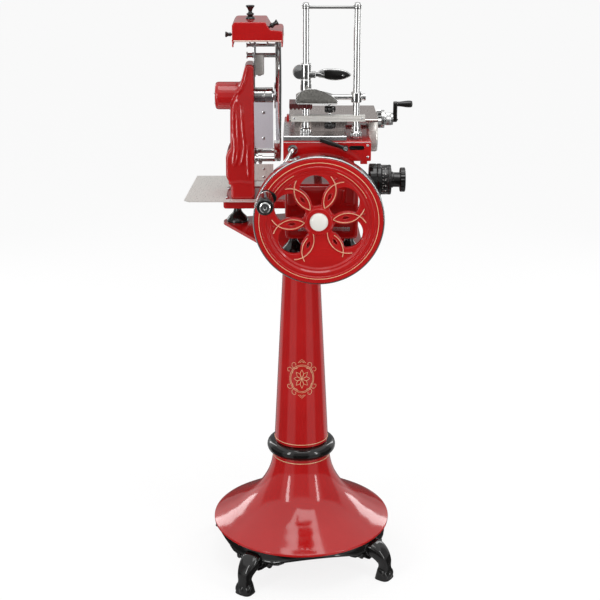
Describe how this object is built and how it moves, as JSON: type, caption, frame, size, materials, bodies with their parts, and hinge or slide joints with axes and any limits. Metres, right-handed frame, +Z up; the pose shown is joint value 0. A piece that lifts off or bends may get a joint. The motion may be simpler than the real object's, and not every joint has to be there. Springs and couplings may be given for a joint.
{
  "type": "hand crank meat slicer",
  "caption": "Hand cranked rotary meat slicer on a flared cast pedestal, with a spoked flywheel, round blade, sliding carriage, feed screw, meat press, sharpener and slice tray.",
  "frame": {"origin": "on the floor, under the middle of the whole slicer's bounding box", "axes": "+Z up; -Y toward the operator and the flywheel; +X toward the feed crank and the thickness knob, -X toward the slice tray"},
  "size_m": [0.5912, 0.7738, 1.5273],
  "materials": {
    "red_enamel": "high gloss enamel",
    "black_enamel": "high gloss enamel",
    "black_bakelite": "polished",
    "chrome": "polished",
    "brushed_steel": "brushed",
    "grey_aluminium": "satin",
    "tray_aluminium": "satin",
    "pearl_cap": "pearl gloss",
    "maroon_teeth": "satin",
    "grinding_stone": "gritty",
    "black_rubber": "satin"
  },
  "bodies": {
    "pedestal": {"leg_casting": "black_enamel", "pedestal_bell": "red_enamel", "pedestal_collar": "black_enamel", "pedestal_column": "red_enamel", "pedestal_top_plate": "red_enamel", "left_foot": "black_rubber", "front_left_foot": "black_rubber", "front_right_foot": "black_rubber", "back_right_foot": "black_rubber", "machine_base": "red_enamel", "guide_rod_left": "chrome", "guide_rod_right": "chrome", "arm_casting": "red_enamel", "blade_bearing_housing": "chrome", "blade_side_cover": "brushed_steel", "slice_deflector": "tray_aluminium", "blade_guard": "chrome", "drive_chain": "brushed_steel", "thickness_bracket": "black_enamel"},
    "sharpener": {"sharpener_hood": "red_enamel", "sharpener_frame": "brushed_steel"},
    "top_knob": {"hood_top_knob": "black_bakelite"},
    "grinder": {"hood_left_knob": "black_bakelite", "grinding_stone": "grinding_stone"},
    "hone_knob": {"hood_right_knob": "black_bakelite"},
    "flywheel": {"flywheel": "red_enamel", "hub_cap": "pearl_cap", "main_axle": "brushed_steel", "crank_pin": "chrome", "axle_bevel_gear": "brushed_steel"},
    "crank_grip": {"crank_grip": "black_bakelite"},
    "cross_shaft": {"cross_shaft": "brushed_steel", "lower_sprocket": "brushed_steel"},
    "blade": {"blade": "chrome", "blade_shaft": "brushed_steel", "blade_clamp_plate": "chrome", "upper_sprocket": "brushed_steel"},
    "drive_crank": {"drive_crank": "brushed_steel"},
    "connecting_rod": {"connecting_rod": "brushed_steel"},
    "guard_latch": {"guard_latch": "chrome"},
    "slice_tray": {"slice_tray": "tray_aluminium"},
    "carriage": {"carriage": "red_enamel", "carriage_top_plate": "brushed_steel", "carriage_pull_rod": "chrome", "feed_end_disc": "tray_aluminium"},
    "table_release_lever": {"table_release_lever": "black_bakelite"},
    "feed_screw": {"feed_screw": "chrome", "feed_crank": "black_bakelite"},
    "feed_grip": {"feed_grip": "black_bakelite"},
    "meat_table": {"meat_table": "brushed_steel", "table_front_rail": "brushed_steel", "press_rod_left": "chrome", "press_rod_right": "chrome", "press_crossbar": "chrome"},
    "rail_clamp_screw": {"rail_clamp_screw": "black_bakelite"},
    "press": {"press_slider": "chrome", "press_plate": "grey_aluminium", "meat_gripper": "maroon_teeth"},
    "press_lever": {"press_lever": "black_bakelite"},
    "thickness_knob": {"thickness_knob": "black_bakelite"}
  },
  "joints": [
    {"name": "flywheel_spin", "type": "hinge", "parent": "pedestal", "child": "flywheel", "pos_m": [0.0554, 0.01295, 1.031], "axis": [0, 1, 0], "continuous": true},
    {"name": "crank_grip_spin", "type": "hinge", "parent": "flywheel", "child": "crank_grip", "pos_m": [-0.06845, -0.27205, 1.0941], "axis": [0, 1, 0], "continuous": true},
    {"name": "cross_shaft_spin", "type": "hinge", "parent": "pedestal", "child": "cross_shaft", "pos_m": [0.0144, 0.18295, 1.031], "axis": [1, 0, 0], "continuous": true},
    {"name": "blade_spin", "type": "hinge", "parent": "pedestal", "child": "blade", "pos_m": [0.0144, 0.18295, 1.253], "axis": [1, 0, 0], "continuous": true},
    {"name": "drive_crank_spin", "type": "hinge", "parent": "pedestal", "child": "drive_crank", "pos_m": [0.0554, 0.09795, 0], "axis": [0, 0, 1], "continuous": true},
    {"name": "connecting_rod_swing", "type": "hinge", "parent": "drive_crank", "child": "connecting_rod", "pos_m": [0.0554, 0.02795, 0], "axis": [0, 0, 1], "continuous": true},
    {"name": "carriage_slide", "type": "slide", "parent": "pedestal", "child": "carriage", "axis": [0, 1, 0], "range_m": [0, 0.14]},
    {"name": "feed_screw_turn", "type": "hinge", "parent": "carriage", "child": "feed_screw", "pos_m": [0.0144, 0.04295, 1.217], "axis": [1, 0, 0], "range_deg": [0, 3246]},
    {"name": "feed_grip_spin", "type": "hinge", "parent": "feed_screw", "child": "feed_grip", "pos_m": [0.0144, 0.04295, 1.255], "axis": [1, 0, 0], "continuous": true},
    {"name": "table_slide", "type": "slide", "parent": "carriage", "child": "meat_table", "axis": [1, 0, 0], "range_m": [0, 0.045]},
    {"name": "rail_clamp_turn", "type": "hinge", "parent": "meat_table", "child": "rail_clamp_screw", "pos_m": [0.0819, -0.15705, 1.264], "axis": [0, 0, 1], "range_deg": [-180, 180]},
    {"name": "press_slide", "type": "slide", "parent": "meat_table", "child": "press", "axis": [0, 0, 1], "range_m": [-0.004, 0.115]},
    {"name": "press_lever_turn", "type": "hinge", "parent": "press", "child": "press_lever", "pos_m": [0.0434, -0.15705, 1.36], "axis": [0, 1, 0], "range_deg": [-50, 10]},
    {"name": "table_release_turn", "type": "hinge", "parent": "carriage", "child": "table_release_lever", "pos_m": [0.1189, -0.18705, 1.191], "axis": [0, 1, 0], "range_deg": [-20, 40]},
    {"name": "thickness_turn", "type": "hinge", "parent": "pedestal", "child": "thickness_knob", "pos_m": [0.0144, -0.06705, 1.085], "axis": [1, 0, 0], "range_deg": [0, 330]},
    {"name": "sharpener_lift", "type": "slide", "parent": "pedestal", "child": "sharpener", "axis": [0, 0, 1], "range_m": [0, 0.035]},
    {"name": "top_knob_turn", "type": "hinge", "parent": "sharpener", "child": "top_knob", "pos_m": [-0.1176, 0.18295, 1.452], "axis": [0, 0, 1], "range_deg": [-180, 180]},
    {"name": "grinder_push", "type": "slide", "parent": "sharpener", "child": "grinder", "axis": [1, 0, 0], "range_m": [0, 0.006], "stiffness_N_per_m": 300, "springref_m": -0.002},
    {"name": "hone_push", "type": "slide", "parent": "sharpener", "child": "hone_knob", "axis": [-0.866, 0, -0.5], "range_m": [0, 0.003], "stiffness_N_per_m": 300, "springref_m": -0.002},
    {"name": "guard_latch_turn", "type": "hinge", "parent": "pedestal", "child": "guard_latch", "pos_m": [-0.0936, 0.13095, 1.09457], "axis": [1, 0, 0], "range_deg": [-15, 90]},
    {"name": "tray_slide", "type": "slide", "parent": "pedestal", "child": "slice_tray", "axis": [-1, 0, 0], "range_m": [0, 0.14]}
  ],
  "couplings": [
    {"joint": "cross_shaft_spin", "follows": "flywheel_spin", "ratio": -1},
    {"joint": "blade_spin", "follows": "flywheel_spin", "ratio": -2.5},
    {"joint": "drive_crank_spin", "follows": "flywheel_spin", "ratio": 1},
    {"joint": "connecting_rod_swing", "follows": "flywheel_spin", "ratio": -1},
    {"joint": "feed_screw_turn", "follows": "table_slide", "rad_per_m": 1256.6}
  ]
}
